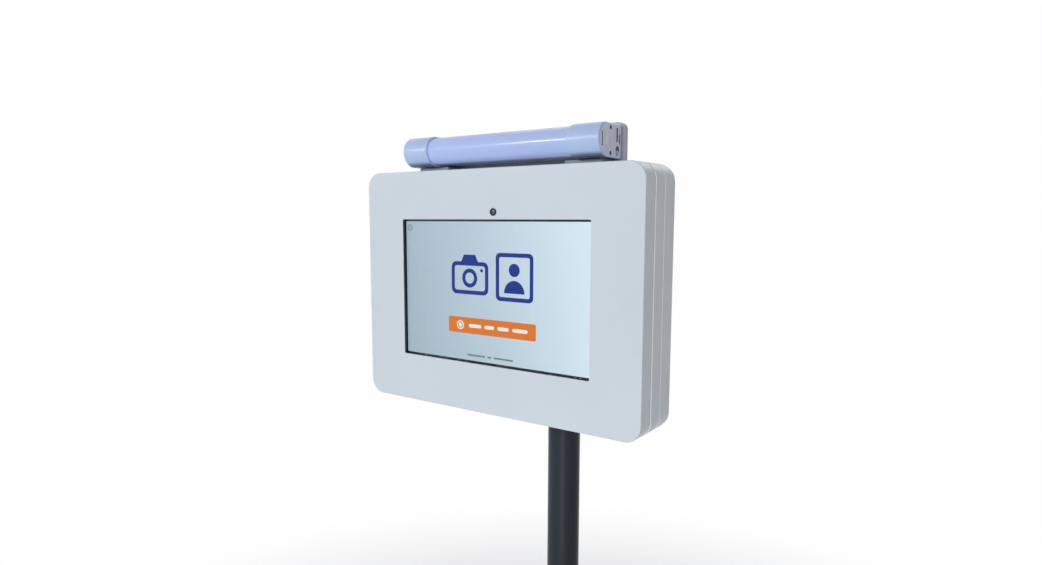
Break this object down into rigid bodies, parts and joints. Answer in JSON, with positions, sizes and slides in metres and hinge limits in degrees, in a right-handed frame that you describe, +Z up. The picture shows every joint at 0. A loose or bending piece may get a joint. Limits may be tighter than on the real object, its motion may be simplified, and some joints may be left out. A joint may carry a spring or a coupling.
{
  "type": "tablet photo booth on a stand",
  "caption": "Tablet photo booth: layered white case with a touch screen and camera, a tube lamp on top, tilting on a black height-adjustable pole with a flat square base.",
  "frame": {"origin": "centre of the base pad's underside, on the pole's axis, on the floor", "axes": "+Z up along the pole, -Y is the side the user stands on and the screen faces, +X is the user's right"},
  "size_m": [0.4, 0.4, 1.162],
  "materials": {
    "white_board": "satin white lacquer on routed board, slightly eased edges",
    "lamp_cap_plastic": "smooth moulded white",
    "lamp_body_plastic": "fine matte light grey",
    "frosted_cover": "frosted opal cover, smooth outside",
    "nylon": "plain nylon",
    "black_plastic": "fine-grained moulding",
    "black_powder_coat": "fine powder coat, semi-matt",
    "black_fastener": "black oxide",
    "bright_steel": "zinc plated",
    "tablet_aluminium": "bead blasted",
    "cover_glass": "polished, black printed border",
    "display": "lit panel with a plain picture",
    "circuit_board": "green solder mask",
    "battery_wrap": "shrink wrap",
    "pad_rubber": "fine texture",
    "foam": "closed-cell foam"
  },
  "bodies": {
    "stand": {"lower_tube": "black_powder_coat", "height_collar": "black_plastic", "collar_bush": "black_plastic", "base_hub": "black_powder_coat", "base_plate": "black_powder_coat", "base_pad": "pad_rubber", "hub_screw_1": "black_fastener", "hub_screw_2": "black_fastener", "hub_screw_3": "black_fastener", "hub_screw_4": "black_fastener"},
    "mast": {"upper_tube": "black_powder_coat", "glide_bush": "nylon"},
    "pan_mount": {"pan_head": "black_powder_coat", "tilt_bolt": "bright_steel", "tilt_washer_right": "nylon", "tilt_washer_left": "nylon"},
    "head": {"front_frame": "white_board", "middle_frame": "white_board", "rear_frame": "white_board", "rear_panel": "white_board", "inlet_gland": "black_plastic", "camera_grommet": "black_plastic", "tablet_glass": "cover_glass", "tablet_display": "display", "tablet_shell": "tablet_aluminium", "tablet_battery": "battery_wrap", "tablet_board": "circuit_board", "tablet_camera": "black_plastic", "foam_pad": "foam", "backing_board": "black_plastic", "retainer_bar_top": "bright_steel", "retainer_bar_bottom": "bright_steel", "power_adapter": "black_plastic", "lamp_diffuser": "frosted_cover", "lamp_housing": "lamp_body_plastic", "lamp_cap_right": "lamp_cap_plastic", "lamp_cap_left": "lamp_cap_plastic", "lamp_led_board": "circuit_board", "lamp_battery": "battery_wrap", "lamp_base": "lamp_body_plastic", "lamp_back_plate": "lamp_body_plastic", "lamp_foot_left": "lamp_body_plastic", "lamp_foot_right": "lamp_body_plastic", "lamp_screw_right_1": "bright_steel", "lamp_screw_right_2": "bright_steel", "lamp_screw_left_1": "bright_steel", "lamp_screw_left_2": "bright_steel", "tilt_plate": "black_powder_coat", "stiffening_plate": "bright_steel", "mount_bolt_1": "black_fastener", "mount_bolt_2": "black_fastener", "mount_bolt_3": "black_fastener", "mount_bolt_4": "black_fastener"},
    "height_clamp": {"height_knob": "black_plastic"},
    "pan_clamp": {"pan_knob": "black_plastic"},
    "tilt_clamp": {"tilt_knob": "black_plastic"},
    "lamp_switch": {"lamp_switch_knob": "lamp_cap_plastic"},
    "power_key": {"tablet_power_button": "tablet_aluminium"},
    "volume_key": {"tablet_volume_rocker": "tablet_aluminium"}
  },
  "joints": [
    {"name": "height", "type": "slide", "parent": "stand", "child": "mast", "axis": [0, 0, 1], "range_m": [0, 0.4]},
    {"name": "pan", "type": "hinge", "parent": "mast", "child": "pan_mount", "pos_m": [0, 0, 1], "axis": [0, 0, 1], "continuous": true},
    {"name": "tilt", "type": "hinge", "parent": "pan_mount", "child": "head", "pos_m": [0, -0.051, 1], "axis": [1, 0, 0], "range_deg": [-30, 20]},
    {"name": "height_knob_turn", "type": "hinge", "parent": "stand", "child": "height_clamp", "pos_m": [0, 0.05, 0.6], "axis": [0, 1, 0], "continuous": true},
    {"name": "pan_knob_turn", "type": "hinge", "parent": "pan_mount", "child": "pan_clamp", "pos_m": [0, 0.04, 1], "axis": [0, 1, 0], "continuous": true},
    {"name": "tilt_knob_turn", "type": "hinge", "parent": "pan_mount", "child": "tilt_clamp", "pos_m": [0.035, -0.051, 1], "axis": [1, 0, 0], "continuous": true},
    {"name": "lamp_switch_slide", "type": "slide", "parent": "head", "child": "lamp_switch", "axis": [0, 0, 1], "range_m": [0, 0.0035]},
    {"name": "power_key_press", "type": "slide", "parent": "head", "child": "power_key", "axis": [0, 0, -1], "range_m": [0, 0.0003], "stiffness_N_per_m": 2000},
    {"name": "volume_key_press", "type": "slide", "parent": "head", "child": "volume_key", "axis": [0, 0, -1], "range_m": [0, 0.0003], "stiffness_N_per_m": 2000}
  ]
}
